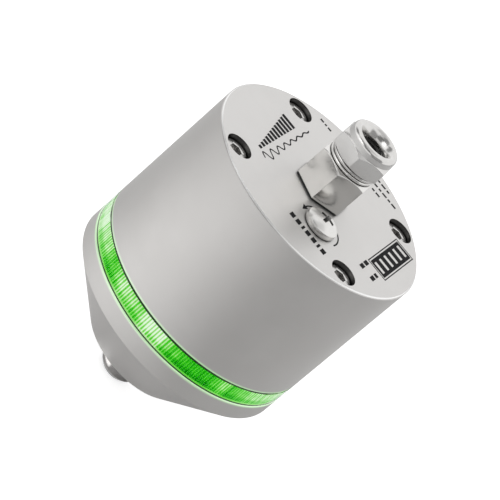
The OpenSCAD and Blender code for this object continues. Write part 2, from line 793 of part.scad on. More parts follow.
module controller_chip() {
    color([0.10, 0.10, 0.11]) translate([chip_x, chip_y, main_top_z]) {
        translate([-chip_w / 2, -chip_w / 2, lead_t]) cube([chip_w, chip_w, chip_h]);
        for (side = [0:90:270]) rotate(side) translate([-chip_w / 2, 0, 0])
            lead_row(chip_leads, chip_w / (chip_leads + 1));
    }
}

// Upright cans with a rolled groove near the foot
module filter_capacitors() {
    r = cap_d / 2;
    waist_r = r - cap_groove;
    waist_z = cap_groove_z + cap_groove;
    color([0.70, 0.71, 0.73]) for (i = [0, 1])
        translate([cap_x, cap_y + i * (cap_d + part_gap), main_top_z])
            rotate_extrude() polygon([[0, 0], [r, 0], [r, cap_groove_z], [waist_r, waist_z],
                [r, waist_z + cap_groove], [r, cap_h - cap_groove], [waist_r, cap_h], [0, cap_h]]);
}

// Switch body with a plate over the room in which the button's flange travels
module set_switch() {
    room_depth = switch_plate_t + 2 * fit_gap + flange_t + 2 * button_travel;
    color([0.13, 0.13, 0.14]) translate([access_x, -access_front, 0]) difference() {
        translate([-switch_w / 2, -switch_w / 2, main_top_z]) cube([switch_w, switch_w, switch_h]);
        translate([0, 0, switch_top_z - room_depth])
            cylinder(r = flange_room_r, h = room_depth - switch_plate_t);
        translate([0, 0, switch_top_z - switch_plate_t - cut])
            cylinder(r = switch_bore_r, h = switch_plate_t + 2 * cut);
    }
}

module set_button() {
    color([0.80, 0.16, 0.12]) translate([access_x, -access_front, flange_z]) {
        cylinder(d = flange_d, h = flange_t);
        cylinder(d = button_d, h = button_top_z - flange_z);
    }
}

foot();
mounting_stud();
lower_gasket();
light_ring();
upper_gasket();
hood();
cover_screws();
gland_gasket();
gland_body();
gland_seal();
gland_washer();
gland_nut();
access_screw();
access_seal();
piezo_rings();
signal_electrode();
seismic_mass();
preload_screw();
lower_spacers();
led_board();
ring_lights();
upper_spacers();
main_board();
board_screws();
header_block();
header_pins();
terminal_block();
terminal_screws();
output_relay();
controller_chip();
filter_capacitors();
set_switch();
set_button();
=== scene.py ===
import json
import math

import bpy
from mathutils import Matrix, Vector


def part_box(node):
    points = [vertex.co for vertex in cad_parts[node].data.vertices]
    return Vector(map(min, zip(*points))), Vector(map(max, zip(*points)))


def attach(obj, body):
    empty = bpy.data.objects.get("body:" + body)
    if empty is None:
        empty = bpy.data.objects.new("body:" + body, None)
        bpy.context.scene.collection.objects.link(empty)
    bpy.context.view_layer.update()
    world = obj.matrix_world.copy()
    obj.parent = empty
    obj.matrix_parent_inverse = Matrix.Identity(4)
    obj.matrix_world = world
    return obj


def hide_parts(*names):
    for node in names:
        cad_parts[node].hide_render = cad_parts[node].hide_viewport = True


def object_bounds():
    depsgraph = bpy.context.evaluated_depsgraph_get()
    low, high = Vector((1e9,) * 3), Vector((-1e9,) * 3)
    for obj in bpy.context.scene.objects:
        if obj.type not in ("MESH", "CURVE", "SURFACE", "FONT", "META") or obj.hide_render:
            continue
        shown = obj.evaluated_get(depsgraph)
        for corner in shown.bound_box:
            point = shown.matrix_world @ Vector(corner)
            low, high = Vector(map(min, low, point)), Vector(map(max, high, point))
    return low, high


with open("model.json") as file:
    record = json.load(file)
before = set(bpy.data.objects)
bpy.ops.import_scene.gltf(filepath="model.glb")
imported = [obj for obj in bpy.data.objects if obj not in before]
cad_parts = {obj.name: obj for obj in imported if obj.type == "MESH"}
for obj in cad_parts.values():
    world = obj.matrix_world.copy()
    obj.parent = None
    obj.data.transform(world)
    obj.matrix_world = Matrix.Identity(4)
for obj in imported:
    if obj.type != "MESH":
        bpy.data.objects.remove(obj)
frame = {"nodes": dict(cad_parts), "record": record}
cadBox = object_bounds()
nodes = frame["nodes"]
mm = 0.001
body = "sensor"
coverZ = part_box("hood")[1].z  # the cover face
floorZ = cadBox[0].z  # the stud's end
print("frame loaded with", len(nodes), "pieces")


# the photograph's standpoint: looking down on the front, tipped so that the axis leans right
shot = {
    "lens": 223.73,  # for a sensor 36 mm wide and a square picture
    "stand": Vector((29.01, -522.28, 305.39)) * mm,
    "right": Vector((0.63285, 0.38633, 0.67101)),
    "up": Vector((-0.77269, 0.25975, 0.57920)),
}


def placeCamera():
    data = bpy.data.cameras.new("shotCamera")
    data.lens = shot["lens"]
    data.sensor_width = 36
    data.clip_start = 0.01
    camera = bpy.data.objects.new("shotCamera", data)
    bpy.context.scene.collection.objects.link(camera)
    back = shot["right"].cross(shot["up"])
    turn = Matrix((shot["right"], shot["up"], back)).transposed()
    camera.matrix_world = Matrix.Translation(shot["stand"]) @ turn.to_4x4()
    bpy.context.scene.camera = camera
    bpy.context.scene.view_settings.view_transform = "Standard"


placeCamera()
print("camera placed")


# a shader socket that can be reckoned with like a number
class Wire:
    def __init__(self, paint, socket):
        self.paint = paint
        self.socket = socket

    def reckon(self, operation, *values):
        return self.paint.node("ShaderNodeMath", {"operation": operation}, values)

    def __add__(self, other):
        return self.reckon("ADD", self, other)

    def __radd__(self, other):
        return self.reckon("ADD", other, self)

    def __sub__(self, other):
        return self.reckon("SUBTRACT", self, other)

    def __rsub__(self, other):
        return self.reckon("SUBTRACT", other, self)

    def __mul__(self, other):
        return self.reckon("MULTIPLY", self, other)

    def __rmul__(self, other):
        return self.reckon("MULTIPLY", other, self)

    def __truediv__(self, other):
        return self.reckon("DIVIDE", self, other)

    def __rtruediv__(self, other):
        return self.reckon("DIVIDE", other, self)

    def __pow__(self, other):
        return self.reckon("POWER", self, other)

    def __abs__(self):
        return self.reckon("ABSOLUTE", self)

    def __gt__(self, other):
        return self.reckon("GREATER_THAN", self, other)

    def __lt__(self, other):
        return self.reckon("LESS_THAN", self, other)


# one material or world, and its nodes
class Paint:
    def __init__(self, home):
        self.home = home
        self.home.use_nodes = True
        self.tree = home.node_tree
        self.tree.nodes.clear()

    def node(self, kind, settings=(), sockets=(), out=0):
        made = self.tree.nodes.new(kind)
        for key, value in dict(settings).items():
            if key == "stops":
                self.setStops(made.color_ramp, value)
            else:
                setattr(made, key, value)
        pairs = sockets.items() if isinstance(sockets, dict) else enumerate(sockets)
        for key, value in pairs:
            if isinstance(value, Wire):
                self.tree.links.new(value.socket, made.inputs[key])
            else:
                made.inputs[key].default_value = value
        return Wire(self, made.outputs[out] if made.outputs else None)

    def setStops(self, ramp, stops):
        while len(ramp.elements) < len(stops):
            ramp.elements.new(1)
        for element, (position, colour) in zip(ramp.elements, stops):
            element.position = position
            element.color = (*colour, 1)

    def place(self):
        return self.node("ShaderNodeTexCoord", out="Object")

    def axes(self):
        spot = self.place()
        return [self.node("ShaderNodeSeparateXYZ", {}, [spot], axis) for axis in "XYZ"]

    def noise(self, grain, detail, stretch=(1, 1, 1)):
        spot = self.node("ShaderNodeMapping", {}, {"Vector": self.place(), "Scale": stretch})
        return self.node("ShaderNodeTexNoise", {}, {"Vector": spot, "Scale": 1 / grain, "Detail": detail})

    def limit(self, value, low, high):
        sockets = {"Value": value, "From Min": low, "From Max": high}
        return self.node("ShaderNodeMapRange", {"interpolation_type": "SMOOTHSTEP"}, sockets)

    def blend(self, share, one, other):
        one, other = [value if isinstance(value, Wire) else (*value, 1) for value in (one, other)]
        return self.node("ShaderNodeMix", {"data_type": "RGBA"}, {0: share, 6: one, 7: other}, 2)

    def recess(self, reach):
        # one on open faces, less in holes and corners
        return self.node("ShaderNodeAmbientOcclusion", {"samples": 12}, {"Distance": reach}, "AO")

    def bump(self, height, depth):
        return self.node("ShaderNodeBump", {}, {"Height": height, "Distance": depth, "Strength": 1})

    def rays(self):
        # which rays show the backdrop: straight on, in metal, and through clear pieces
        kinds = ("Is Camera Ray", "Is Glossy Ray", "Is Transmission Ray")
        return [self.node("ShaderNodeLightPath", out=kind) for kind in kinds]

    def surface(self, shader):
        kind = "World" if isinstance(self.home, bpy.types.World) else "Material"
        self.node("ShaderNodeOutput" + kind, {}, {"Surface": shader})
        return self.home

    def finish(self, sockets):
        return self.surface(self.node("ShaderNodeBsdfPrincipled", {}, sockets))


def newPaint(name):
    return Paint(bpy.data.materials.new(name))


# socket head screws sunk in the cover face
coverScrew = {
    "count": 4,
    "circle": 21.2 * mm,
    "sink": 1 * mm,
    "headRadius": 2.75 * mm,
    "headHeight": 3 * mm,
    "edge": 0.3 * mm,
    "shankRadius": 1.5 * mm,
    "length": 35 * mm,
    "key": 2.5 * mm,
    "keyDepth": 1.5 * mm,
    "soft": 0.08 * mm,
}


def screwPlaces():
    angles = [2 * math.pi * (index + 0.5) / coverScrew["count"] for index in range(coverScrew["count"])]
    return [coverScrew["circle"] * Vector((math.cos(angle), math.sin(angle), 0)) for angle in angles]


# finishes of the metal pieces; each one's darkest colour is painted as shade into holes and corners, out to
# its reach
metalLooks = {
    "bright_steel": {
        "name": "brightNickel", "rough": 0.19,
        "light": (0.82, 0.81, 0.79), "dark": (0.78, 0.77, 0.75), "recessShade": (0.020, 0.020, 0.019),
        "cloud": 3 * mm, "grain": 0.10 * mm, "dent": 0.001 * mm, "reach": 1.2 * mm,
    },
    # the nut's nickel, painted darker than the body's as shade, with painted shade reaching deep into its
    # funnel
    "nut": {
        "name": "nutNickelShaded", "rough": 0.21,
        "light": (0.75, 0.74, 0.725), "dark": (0.71, 0.70, 0.685), "recessShade": (0.020, 0.020, 0.019),
        "cloud": 3 * mm, "grain": 0.10 * mm, "dent": 0.001 * mm, "reach": 4.5 * mm,
    },
    "head": {
        "name": "headNickel", "rough": 0.29,
        "light": (0.82, 0.81, 0.79), "dark": (0.78, 0.77, 0.75), "recessShade": (0.020, 0.020, 0.019),
        "cloud": 3 * mm, "grain": 0.10 * mm, "dent": 0.001 * mm, "reach": 1.2 * mm,
    },
    "screw": {
        "name": "screwSteel", "rough": 0.22,
        "light": (0.74, 0.73, 0.715), "dark": (0.64, 0.63, 0.62), "recessShade": (0.150, 0.148, 0.145),
        "cloud": 1.2 * mm, "grain": 0.10 * mm, "dent": 0.002 * mm, "reach": 1.2 * mm,
    },
    # the stud's steel, painted darker throughout as shade, for it sits just over the floor
    "stud": {
        "name": "studSteelShaded", "rough": 0.12,
        "light": (0.56, 0.55, 0.54), "dark": (0.48, 0.47, 0.46), "recessShade": (0.010, 0.010, 0.010),
        "cloud": 2 * mm, "grain": 0.10 * mm, "dent": 0.0005 * mm, "reach": 2.5 * mm,
    },
    "heavy_alloy": {
        "name": "heavyAlloy", "rough": 0.34,
        "light": (0.30, 0.30, 0.31), "dark": (0.22, 0.22, 0.23), "recessShade": (0.05, 0.05, 0.05),
        "cloud": 3 * mm, "grain": 0.10 * mm, "dent": 0.002 * mm, "reach": 1.2 * mm,
    },
    "contact_brass": {
        "name": "contactBrass", "rough": 0.24,
        "light": (0.83, 0.62, 0.26), "dark": (0.70, 0.49, 0.18), "recessShade": (0.10, 0.07, 0.03),
        "cloud": 3 * mm, "grain": 0.10 * mm, "dent": 0.002 * mm, "reach": 1.2 * mm,
    },
    "can_aluminium": {
        "name": "canAluminium", "rough": 0.28,
        "light": (0.72, 0.73, 0.75), "dark": (0.62, 0.63, 0.65), "recessShade": (0.10, 0.10, 0.10),
        "cloud": 3 * mm, "grain": 0.10 * mm, "dent": 0.002 * mm, "reach": 1.2 * mm,
    },
}


def metalSockets(paint, look):
    # soft clouds of tone, fine dents, and painted shade in holes and corners
    cloud = paint.noise(look["cloud"], 3)
    grain = paint.noise(look["grain"], 2)
    tone = paint.blend(paint.limit(cloud, 0.35, 0.65), look["dark"], look["light"])
    return {
        "Base Color": paint.blend(paint.limit(paint.recess(look["reach"]), 0.15, 0.90), look["recessShade"], tone),
        "Metallic": 1,
        "Roughness": look["rough"] + 0.06 * (cloud - 0.5) + 0.10 * (grain - 0.5),
        "Normal": paint.bump(grain, look["dent"]),
    }


def metalPaint(look):
    paint = newPaint(look["name"])
    return paint.finish(metalSockets(paint, look))


# blasted steel of the foot and the hood
steelLook = {
    "light": (0.660, 0.646, 0.632),
    "dark": (0.632, 0.618, 0.604),
    # darkest colour, painted as shade in holes and corners and in the screw holes
    "recessShade": (0.030, 0.029, 0.028),
    "reach": 0.8 * mm,
    "cloud": 14 * mm,
    "grain": 0.16 * mm,  # bead marks
    "dent": 0.006 * mm,
    "rough": 0.36,
    "skin": 0.02 * mm,  # depth that still counts as the cover face
    "faceRough": 0.12,  # how much duller the cover face is, and how far painted light lifts its colour
    "facePaintedLight": 0.20,
    "edge": (0.97, 0.97, 0.96),  # painted highlight along the upper part of the turned chamfer round the cover face
    "chamfer": 0.22 * mm,
    "chamferWidth": 0.4 * mm,
    "bore": 2.95 * mm,  # shaded holes of the cover screws
    "boreDepth": 4.17 * mm,
    "boreShade": 0.8,
    "spill": (0.36, 0.85, 0.28),  # light of the ring on the metal beside it
    "spillReach": 0.70 * mm,
    "spillWidth": 0.3 * mm,
    "spillStrength": 0.55,
}


def housingPaint():
    look = steelLook
    paint = newPaint("housingSteel")
    sockets = metalSockets(paint, look)
    colour = sockets["Base Color"]
    x, y, z = paint.axes()
    away = (x * x + y * y) ** 0.5
    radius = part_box("hood")[1].x

    face = z > coverZ - look["skin"]
    under = z < coverZ - look["skin"]
    # painted highlight: a bright band on the rim's chamfer
    rim = (z > coverZ - look["chamfer"]) * under * (away > radius - look["chamferWidth"])
    colour = paint.blend(rim, colour, look["edge"])
    # painted light: the cover face's colour is lifted towards the bright edge colour
    colour = paint.blend(look["facePaintedLight"] * face, colour, look["edge"])
    across, along = abs(x) - screwPlaces()[0].x, abs(y) - screwPlaces()[0].y
    aside = (across * across + along * along) ** 0.5
    bore = (aside < look["bore"]) * under * (z > coverZ - look["boreDepth"])
    sockets["Base Color"] = paint.blend(look["boreShade"] * bore, colour, look["recessShade"])
    sockets["Roughness"] = sockets["Roughness"] + look["faceRough"] * face

    low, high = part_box("lower_gasket")[0].z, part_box("upper_gasket")[1].z
    below = paint.limit(z, low - look["spillReach"], low) * (z < low + look["skin"])
    above = paint.limit(high + look["spillReach"] - z, 0, look["spillReach"]) * (z > high - look["skin"])
    spill = (below + above) * (away > radius - look["spillWidth"])
    sockets["Emission Color"] = paint.blend(spill, (0, 0, 0), look["spill"])
    sockets["Emission Strength"] = look["spillStrength"]
    return paint.finish(sockets)


# finishes of the moulded, fired and coated pieces
mouldedLooks = {
    "black_rubber": {
        "tone": (0.010, 0.010, 0.010), "fleck": (0.022, 0.022, 0.021), "rough": 0.55, "grain": 0.14 * mm},
    "piezo_ceramic": {
        "tone": (0.74, 0.67, 0.47), "fleck": (0.80, 0.75, 0.58), "rough": 0.60, "grain": 0.08 * mm},
    "board_green": {
        "tone": (0.008, 0.090, 0.030), "fleck": (0.012, 0.120, 0.044), "rough": 0.28, "grain": 0.60 * mm},
    "light_lens": {
        "tone": (0.69, 0.89, 0.60), "fleck": (0.80, 0.95, 0.74), "rough": 0.12, "grain": 0.40 * mm},
    "black_plastic": {
        "tone": (0.014, 0.014, 0.015), "fleck": (0.026, 0.026, 0.028), "rough": 0.48, "grain": 0.12 * mm},
    "ink": {
        "tone": (0.012, 0.012, 0.013), "fleck": (0.020, 0.020, 0.021), "rough": 0.85, "grain": 0.20 * mm,
        "shine": 0.2},
    "terminal_green": {
        "tone": (0.012, 0.15, 0.034), "fleck": (0.018, 0.19, 0.048), "rough": 0.45, "grain": 0.16 * mm},
    "button_red": {
        "tone": (0.60, 0.022, 0.014), "fleck": (0.68, 0.036, 0.022), "rough": 0.40, "grain": 0.16 * mm},
}


def mouldedPaint(name, look):
    paint = newPaint(name)
    grain = paint.noise(look["grain"], 3)
    return paint.finish({
        "Base Color": paint.blend(paint.limit(grain, 0.35, 0.65), look["tone"], look["fleck"]),
        "Roughness": look["rough"] + 0.12 * (grain - 0.5),
        "Normal": paint.bump(grain, 0.01 * mm),
        "Specular IOR Level": look.get("shine", 0.5),
    })


finishes = {"housing_steel": housingPaint()}
for slotName, look in metalLooks.items():
    finishes[slotName] = metalPaint(look)
for slotName, look in mouldedLooks.items():
    finishes[slotName] = mouldedPaint(slotName, look)


# what the ring's core shows: green flutes, paler where the lights behind them are strong
glowLook = {
    "flutes": 240,
    # degrees round the axis, spread and gain
    "lights": [
        (-158, 14, 0.12), (-150, 24, 0.42), (-130, 5, 0.14), (-112, 6, 0.10),
        (-99, 34, 0.31), (-88, 10, 0.24), (-48, 6, 0.22), (-19, 26, 0.37),
        (28, 16, 0.30), (62, 30, 0.24), (108, 22, 0.38), (152, 18, 0.30),
    ],
    "stops": [
        (0.00, (0.000, 0.070, 0.000)),
        (0.20, (0.001, 0.220, 0.001)),
        (0.40, (0.012, 0.420, 0.004)),
        (0.55, (0.045, 0.600, 0.012)),
        (0.70, (0.170, 0.710, 0.070)),
        (0.85, (0.500, 0.840, 0.360)),
        (1.00, (0.850, 0.980, 0.820)),
    ],
    "base": 0.28,
    "upper": 0.17,  # more light above the lowest part
    "upperFrom": 0.20,  # shares of the ring's height
    "upperTo": 0.50,
    "ridge": 0.36,  # contrast across a flute, and from flute to flute
    "chance": 0.20,
    "patch": 1.1 * mm,  # small and wide patches of light
    "patchGain": 0.25,
    "sweep": 7 * mm,
    "sweepGain": 0.15,
    "edgeLevel": 0.66,
    "edgeBand": 0.35 * mm,  # plain band along the lower edge
    "shade": 0.22 * mm,  # dark line under the upper gasket
    "strength": 0.95,
}


def glowPaint():
    g = glowLook
    paint = newPaint("ringGlow")
    low, high = [corner.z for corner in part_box("light_ring")]
    x, y, z = paint.axes()
    turn = x.reckon("ARCTAN2", y, x)
    pale = 0
    for angle, spread, gain in g["lights"]:
        near = x.reckon("COSINE", turn - math.radians(angle))
        pale = gain * paint.limit(near, math.cos(math.radians(spread)), 1) + pale
    count = turn * (g["flutes"] / (2 * math.pi))
    ridge = abs(count.reckon("FRACT", count) - 0.5) * 2
    number = count.reckon("FLOOR", count)
    chance = paint.node("ShaderNodeTexWhiteNoise", {"noise_dimensions": "1D"}, {"W": number})
    ribs = g["ridge"] * (ridge - 0.5) + g["chance"] * (chance - 0.5)
    upper = paint.limit((z - low) / (high - low), g["upperFrom"], g["upperTo"])
    patch = g["patchGain"] * (paint.noise(g["patch"], 2) - 0.5)
    sweep = g["sweepGain"] * (paint.noise(g["sweep"], 1, (1, 1, 0)) - 0.5)
    level = g["base"] + g["upper"] * upper + pale + ribs * (0.7 + 0.9 * pale) + patch + sweep
    level = level.reckon("MAXIMUM", level, (g["edgeLevel"] + 0.3 * pale) * (z < low + g["edgeBand"]))
    level = level * (z < high - g["shade"])
    return paint.finish({
        "Base Color": (0, 0, 0, 1),
        "Specular IOR Level": 0,
        "Emission Color": paint.node("ShaderNodeValToRGB", {"stops": g["stops"]}, [level]),
        "Emission Strength": g["strength"],
    })


def clearPaint():
    paint = newPaint("ringClear")
    cloud = paint.noise(2 * mm, 2)
    return paint.finish({
        "Base Color": paint.blend(cloud, (0.93, 1.0, 0.92), (0.97, 1.0, 0.97)),
        "Roughness": 0.02 * cloud,
        "Transmission Weight": 1,
        "IOR": 1.12,
    })


finishes["clear_green"] = glowPaint()
finishes["clear"] = clearPaint()
print("finishes mixed:", len(finishes))

for entry in frame["record"]["subparts"]:
    node = nodes[entry["node"]]
    node.data.materials.clear()
    node.data.materials.append(finishes[entry["material_slot"]])
for name in ("cover_screws", "preload_screw", "board_screws", "terminal_screws"):
    nodes[name].data.materials[0] = finishes["screw"]
print("finishes laid on the solids")


# bench work shared by the modelled pieces
def takeUp(piece):
    bpy.ops.object.select_all(action="DESELECT")
    piece.select_set(True)
    bpy.context.view_layer.objects.active = piece


def tidyMesh(closer=0.0001 * mm):
    # joins points that lie closer than this and turns the faces outward
    bpy.ops.mesh.select_all(action="SELECT")
    bpy.ops.mesh.remove_doubles(threshold=closer)
    bpy.ops.mesh.normals_make_consistent(inside=False)


def applyModifier(piece, modifier):
    takeUp(piece)
    bpy.ops.object.modifier_apply(modifier=modifier.name)


def newPiece(name):
    # an empty piece, open for work
    bpy.ops.object.select_all(action="DESELECT")
    bpy.ops.mesh.primitive_plane_add(size=mm)
    piece = bpy.context.object
    piece.name = name
    bpy.ops.object.mode_set(mode="EDIT")
    bpy.ops.mesh.delete(type="VERT")
    return piece


def drawLines(name, *lines):
    # each line is a plane shrunk to one point, which is then drawn from place to place
    piece = newPiece(name)
    for points in lines:
        bpy.ops.mesh.primitive_plane_add(size=mm)
        bpy.ops.mesh.merge(type="CENTER")
        bpy.ops.transform.translate(value=points[0])
        for before, after in zip(points, points[1:]):
            bpy.ops.mesh.extrude_vertices_move(TRANSFORM_OT_translate={"value": after - before})
    bpy.ops.mesh.select_all(action="SELECT")
    return piece


def turned(name, outline, steps):
    # an outline of radius and height, spun round the axis
    piece = drawLines(name, [Vector((radius, 0, height)) for radius, height in outline])
    bpy.ops.mesh.spin(steps=steps, angle=2 * math.pi, center=(0, 0, 0), axis=(0, 0, 1))
    tidyMesh()
    bpy.ops.object.mode_set(mode="OBJECT")
    return piece


def arc(x, z, radius, start, end, steps=12):
    angles = [math.radians(start + (end - start) * step / steps) for step in range(steps + 1)]
    return [(x + radius * math.cos(angle), z + radius * math.sin(angle)) for angle in angles]


def hexBar(flats, low, high, turn=0):
    bpy.ops.object.select_all(action="DESELECT")
    bpy.ops.mesh.primitive_cylinder_add(
        vertices=6, radius=flats / math.sqrt(3), depth=high - low,
        location=(0, 0, (low + high) / 2), rotation=(0, 0, math.radians(turn)))
    bpy.ops.object.transform_apply(location=True, rotation=True, scale=True)
    return bpy.context.object


def carve(piece, tool, operation="DIFFERENCE"):
    cut = piece.modifiers.new("carve", "BOOLEAN")
    cut.operation = operation
    cut.object = tool
    applyModifier(piece, cut)
    bpy.data.objects.remove(tool)


def softenEdges(piece, width):
    # very short edges would hold the softening back, so they are closed up first
    takeUp(piece)
    bpy.ops.object.mode_set(mode="EDIT")
    tidyMesh(0.5 * width)
    bpy.ops.object.mode_set(mode="OBJECT")
    soften = piece.modifiers.new("soften", "BEVEL")
    soften.width = width
    soften.segments = 2
    soften.limit_method = "ANGLE"
    soften.angle_limit = math.radians(24)
    applyModifier(piece, soften)


def moveTo(piece, place):
    takeUp(piece)
    piece.location = place
    bpy.ops.object.transform_apply(location=True, rotation=True, scale=True)


def settle(piece, finish, slotName, *replaced):
    takeUp(piece)
    bpy.ops.object.mode_set(mode="EDIT")
    tidyMesh()
    bpy.ops.object.mode_set(mode="OBJECT")
    bpy.ops.object.shade_smooth_by_angle(angle=math.radians(28))
    weigh = piece.modifiers.new("weigh", "WEIGHTED_NORMAL")
    weigh.keep_sharp = True
    applyModifier(piece, weigh)
    piece.data.materials.clear()
    piece.data.materials.append(finishes[finish])
    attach(piece, body)
    if replaced:
        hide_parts(*replaced)
    return piece


# cable gland: body with its hexagon and collar, and the cap nut with its rolled lip
gland = {
    "flats": 11 * mm,
    "bodyTurn": 3,
    "nutTurn": 5,
    "chamfer": math.tan(math.radians(30)),  # slope of the turned corners
    "edge": 0.15 * mm,
    "lipLow": 0.42 * mm,  # heights above the cover face
    "hexLow": 0.6 * mm,
    "collarLow": 8.05 * mm,
    "capThreadLow": 8.85 * mm,
    "bodyTop": 12.6 * mm,
    "sealLow": 9.4 * mm,
    "nutLow": 8.9 * mm,
    "nutHexLow": 9.75 * mm,
    "domeLow": 13.45 * mm,
    "nutTop": 15.4 * mm,
    "nutCeiling": 13.45 * mm,
    "roof": 5 * mm,
    "threadRadius": 4 * mm,
    "boreRadius": 2.7 * mm,
    "pocketRadius": 3.6 * mm,
    "collarRadius": 5.35 * mm,
    "bead": 0.4 * mm,  # rounding of the collar and of the nut's skirt
    "lip": 0.09 * mm,  # wall that comes down round the gasket
    "lipInset": 0.005 * mm,  # keeps the wall's faces just inside the hexagon's
    "capThreadRadius": 4.35 * mm,
    "nutThreadRadius": 4.4 * mm,
    "skirtRadius": 5.4 * mm,
    "domeRadius": 5.4 * mm,
    "lipOut": 1.0 * mm,
    "flare": 1.5,  # two is a round funnel, one a straight cone
    "mouthRadius": 2.9 * mm,
    "soft": 0.07 * mm,
}


def chamferDrop(radius):
    clear = gland["flats"] / math.sqrt(3) + gland["edge"]
    return clear, (clear - radius) * gland["chamfer"]


def makeGlandBody():
    g = gland
    clear, drop = chamferDrop(g["collarRadius"])
    bead = arc(g["collarRadius"] - g["bead"], g["capThreadLow"] - g["bead"], g["bead"], -90, 90)
    outline = [
        (g["boreRadius"], -g["roof"]), (g["threadRadius"], -g["roof"]), (g["threadRadius"], g["hexLow"]),
        (clear - 2 * g["edge"], g["hexLow"]), (clear, g["hexLow"] + 2 * g["edge"]),
        (clear, g["collarLow"] - drop), (g["collarRadius"], g["collarLow"]),
        *bead, (g["capThreadRadius"], g["capThreadLow"]),
        (g["capThreadRadius"], g["bodyTop"]), (g["pocketRadius"], g["bodyTop"]),
        (g["pocketRadius"], g["sealLow"]), (g["boreRadius"], g["sealLow"]), (g["boreRadius"], -g["roof"])]
    piece = turned("glandHexBody", outline, 180)
    carve(piece, hexBar(g["flats"], -2 * g["roof"], g["nutTop"], g["bodyTurn"]), "INTERSECT")
    softenEdges(piece, g["soft"])
    wide = g["flats"] - 2 * g["lipInset"]
    lip = hexBar(wide, g["lipLow"], g["hexLow"] + g["lipLow"], g["bodyTurn"])
    carve(lip, hexBar(g["flats"] - 2 * g["lip"], 0, g["hexLow"], g["bodyTurn"]))
    carve(piece, lip, "UNION")
    moveTo(piece, (0, 0, coverZ))
    return settle(piece, "bright_steel", "bright_steel", "gland_body")


def makeGlandNut():
    g = gland
    clear, skirtDrop = chamferDrop(g["skirtRadius"])
    domeDrop = chamferDrop(g["domeRadius"])[1]
    bead = arc(g["skirtRadius"] - g["bead"], g["nutLow"] + g["bead"], g["bead"], -90, 90)
    outline = [
        (g["nutThreadRadius"], g["nutLow"]), *bead, (g["skirtRadius"], g["nutHexLow"]),
        (clear, g["nutHexLow"] + skirtDrop),
        (clear, g["domeLow"] - domeDrop), (g["domeRadius"], g["domeLow"])]
    outline += arc(g["domeRadius"] - g["lipOut"], g["nutTop"] - g["lipOut"], g["lipOut"], 0, 90)
    wide = g["domeRadius"] - g["lipOut"] - g["mouthRadius"]
    deep = g["nutTop"] - g["nutCeiling"]
    for across, along in arc(0, 0, 1, 90, 0)[1:]:
        across, along = [max(share, 0) ** (2 / g["flare"]) for share in (across, along)]
        outline.append((g["mouthRadius"] + wide * (1 - across), g["nutCeiling"] + deep * along))
    outline += [(g["nutThreadRadius"], g["nutCeiling"]), outline[0]]
    piece = turned("glandCapNut", outline, 150)
    carve(piece, hexBar(g["flats"], 0, 2 * g["nutTop"], g["nutTurn"]), "INTERSECT")
    softenEdges(piece, g["soft"])
    moveTo(piece, (0, 0, coverZ))
    return settle(piece, "nut", "bright_steel", "gland_nut")


makeGlandBody()
makeGlandNut()
print("gland turned and cut")


# crowned screw over the set button
access = {
    "place": Vector((5.4, -10.7, 0)) * mm,
    "seal": 0.35 * mm,
    "skirt": 0.22 * mm,  # rim that comes down round the seal
    "skirtWall": 0.15 * mm,
    "headRadius": 3.5 * mm,
    "edge": 0.95 * mm,
    "crown": 1.25 * mm,
    "threadRadius": 2 * mm,
    "length": 6 * mm,
    "crossLength": 4.3 * mm,
    "crossWidth": 1.05 * mm,
    "crossDepth": 1.3 * mm,
    "crossTaper": 0.55,
    "soft": 0.06 * mm,
}


def crossBar(turn, top):
    a = access
    bpy.ops.object.select_all(action="DESELECT")
    bpy.ops.mesh.primitive_cube_add(size=1, location=(0, 0, top), rotation=(0, 0, math.radians(turn)))
    bar = bpy.context.object
    bar.scale = (a["crossLength"], a["crossWidth"], 2 * a["crossDepth"])
    bpy.ops.object.transform_apply(location=True, rotation=True, scale=True)
    bpy.ops.object.mode_set(mode="EDIT")
    bpy.ops.mesh.select_all(action="DESELECT")
    bpy.ops.object.mode_set(mode="OBJECT")
    for vertex in bar.data.vertices:
        vertex.select = vertex.co.z < top
    bpy.ops.object.mode_set(mode="EDIT")
    bpy.ops.transform.resize(value=(a["crossTaper"], a["crossTaper"], 1), center_override=(0, 0, top))
    bpy.ops.object.mode_set(mode="OBJECT")
    return bar


def makeAccessScrew():
    a = access
    ball = (a["headRadius"] ** 2 + a["crown"] ** 2) / (2 * a["crown"])
    top = a["edge"] + a["crown"]
    reach = math.degrees(math.asin(a["headRadius"] / ball))
    wall = a["headRadius"] - a["skirtWall"]
    outline = [(0, -a["length"]), (a["threadRadius"], -a["length"]), (a["threadRadius"], 0), (wall, 0),
               (wall, -a["skirt"]), (a["headRadius"], -a["skirt"])]
    outline += arc(0, top - ball, ball, 90 - reach, 90, 8)
    piece = turned("accessScrewHead", outline, 76)
    cross = crossBar(0, top)
    carve(cross, crossBar(90, top), "UNION")
    carve(piece, cross)
    softenEdges(piece, a["soft"])
    moveTo(piece, a["place"] + Vector((0, 0, coverZ + a["seal"])))
    return settle(piece, "head", "bright_steel", "access_screw")


makeAccessScrew()
print("access screw made")


def makeCoverScrews():
    c = coverScrew
    outline = [(0, -c["length"]), (c["shankRadius"], -c["length"])]
    outline += [(c["shankRadius"], 0), (c["headRadius"], 0)]
    outline += arc(c["headRadius"] - c["edge"], c["headHeight"] - c["edge"], c["edge"], 0, 90, 4)
    outline += [(0, c["headHeight"])]
    first = turned("coverScrew1", outline, 64)
    carve(first, hexBar(c["key"], c["headHeight"] - c["keyDepth"], 2 * c["headHeight"]))
    softenEdges(first, c["soft"])
    seat = Vector((0, 0, coverZ - c["sink"] - c["headHeight"]))
    pieces = [first]
    while len(pieces) < c["count"]:
        pieces.append(bpy.data.objects.new("coverScrew" + str(len(pieces) + 1), first.data.copy()))
        bpy.context.scene.collection.objects.link(pieces[-1])
    for piece, place in zip(pieces, screwPlaces()):
        moveTo(piece, place + seat)
        settle(piece, "screw", "bright_steel", "cover_screws")


makeCoverScrews()
print("cover screws made")


